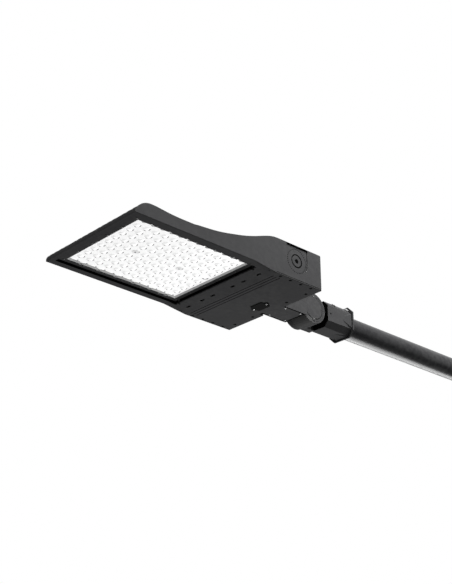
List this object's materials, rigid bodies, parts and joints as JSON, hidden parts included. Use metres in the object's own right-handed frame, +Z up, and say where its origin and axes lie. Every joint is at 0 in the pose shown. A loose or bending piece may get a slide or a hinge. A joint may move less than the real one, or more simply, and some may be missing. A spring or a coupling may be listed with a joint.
{
  "type": "led flood light",
  "caption": "Grey LED flood light with a finned head, domed white lens plate, tilting knuckle and a slip fitter on a round arm tube.",
  "frame": {"origin": "centre of the free end of the arm tube", "axes": "+X out of the free end of the arm tube, +Y to the far side of the head, +Z up, with the light shining down"},
  "size_m": [1.31, 0.3278, 0.104],
  "materials": {
    "body_paint": "satin",
    "frame_paint": "satin",
    "tube_paint": "gloss",
    "dark_plate": "satin",
    "lens": "gloss",
    "board": "satin",
    "led": "satin",
    "steel": "satin",
    "dark_steel": "satin",
    "rubber": "matte",
    "cable": "satin",
    "driver_case": "satin",
    "plastic": "matte"
  },
  "bodies": {
    "arm": {"arm_tube": "tube_paint"},
    "fitter": {"slip_fitter": "body_paint", "set_bolts": "steel", "knuckle_bolt": "steel", "knuckle_washers": "steel", "knuckle_nut": "steel"},
    "head": {"housing": "body_paint", "led_board": "board", "led_chips": "led", "lens_gasket": "rubber", "lens_plate": "lens", "lens_frame": "frame_paint", "frame_screws": "steel", "lens_boss_screws": "steel", "led_lead": "cable", "lead_grommets": "rubber", "driver": "driver_case", "driver_screws": "steel", "surge_protector": "plastic", "terminal_block": "plastic", "supply_lead": "cable", "wireway_grommet": "rubber", "driver_cover": "body_paint", "driver_cover_gasket": "rubber", "driver_cover_screws": "dark_steel", "access_plate": "dark_plate", "access_gasket": "rubber", "access_screws": "steel", "knuckle_neck": "body_paint", "neck_bolts": "steel", "neck_cover": "body_paint", "neck_cover_gasket": "rubber", "neck_cover_screws": "steel", "knuckle_cap": "body_paint", "knuckle_cap_screws": "steel", "pivot_plugs": "body_paint", "slot_seals": "rubber"}
  },
  "joints": [
    {"name": "fitter_swivel", "type": "hinge", "parent": "arm", "child": "fitter", "pos_m": [-0.5, 0, 0], "axis": [1, 0, 0], "range_deg": [-180, 180]},
    {"name": "head_tilt", "type": "hinge", "parent": "fitter", "child": "head", "pos_m": [-0.632, 0, 0], "axis": [0, 1, 0], "range_deg": [-60, 90]}
  ]
}
